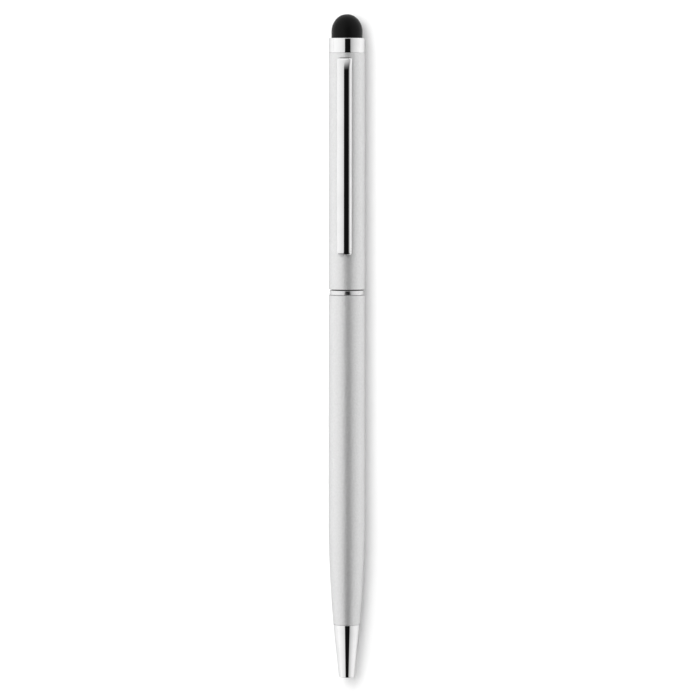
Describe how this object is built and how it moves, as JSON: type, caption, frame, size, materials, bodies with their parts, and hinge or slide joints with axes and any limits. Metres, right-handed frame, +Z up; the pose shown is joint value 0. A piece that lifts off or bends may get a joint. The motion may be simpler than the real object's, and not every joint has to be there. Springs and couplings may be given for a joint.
{
  "type": "stylus pen",
  "caption": "Slim twist-action ballpoint pen with satin silver barrels, polished trim, a pocket clip and a soft stylus dome on its other end.",
  "frame": {"origin": "on the surface that the pen lies on, below the middle of its length", "axes": "+Y along the pen's axis towards the stylus, -Y towards the writing point, +Z up through the clip"},
  "size_m": [0.0074, 0.135, 0.009],
  "materials": {
    "silver_lacquer": "satin",
    "chromed_brass": "polished",
    "chromed_spring_steel": "polished",
    "black_rubber": "matte",
    "turned_brass": "satin",
    "blackened_brass": "satin",
    "nickel_silver": "polished",
    "steel": "satin",
    "tungsten_carbide": "polished",
    "black_acetal": "satin",
    "white_acetal": "satin",
    "blue_ink": "gloss",
    "follower_grease": "gloss"
  },
  "bodies": {
    "upper_half": {"upper_barrel": "silver_lacquer", "upper_bush": "white_acetal", "cam_tube": "black_acetal", "snap_ring": "steel", "clip_plug": "turned_brass", "stylus_ferrule": "chromed_brass", "stylus_stud": "steel", "stylus_dome": "black_rubber"},
    "lower_half": {"lower_barrel": "silver_lacquer", "nose_cone": "chromed_brass", "centre_ring": "chromed_brass", "mechanism_housing": "blackened_brass"},
    "refill": {"refill_carrier": "white_acetal", "carrier_pin": "steel", "refill_plug": "white_acetal", "refill_tube": "turned_brass", "ink_column": "blue_ink", "ink_follower": "follower_grease", "refill_point": "nickel_silver"},
    "clip": {"clip": "chromed_spring_steel"},
    "ball": {"writing_ball": "tungsten_carbide"}
  },
  "joints": [
    {"name": "twist", "type": "hinge", "parent": "upper_half", "child": "lower_half", "pos_m": [0, 0.01155, 0.0037], "axis": [0, 1, 0], "range_deg": [0, 180]},
    {"name": "refill_slide", "type": "slide", "parent": "lower_half", "child": "refill", "axis": [0, -1, 0], "range_m": [0, 0.0055]},
    {"name": "clip_flex", "type": "hinge", "parent": "upper_half", "child": "clip", "pos_m": [0, 0.0565, 0.00635], "axis": [-1, 0, 0], "range_deg": [0, 2], "stiffness_Nm_per_rad": 0.8},
    {"name": "ball_roll", "type": "hinge", "parent": "refill", "child": "ball", "pos_m": [0, -0.0645, 0.0037], "axis": [1, 0, 0], "continuous": true}
  ],
  "couplings": [
    {"joint": "twist", "follows": "refill_slide", "rad_per_m": 571.2}
  ]
}
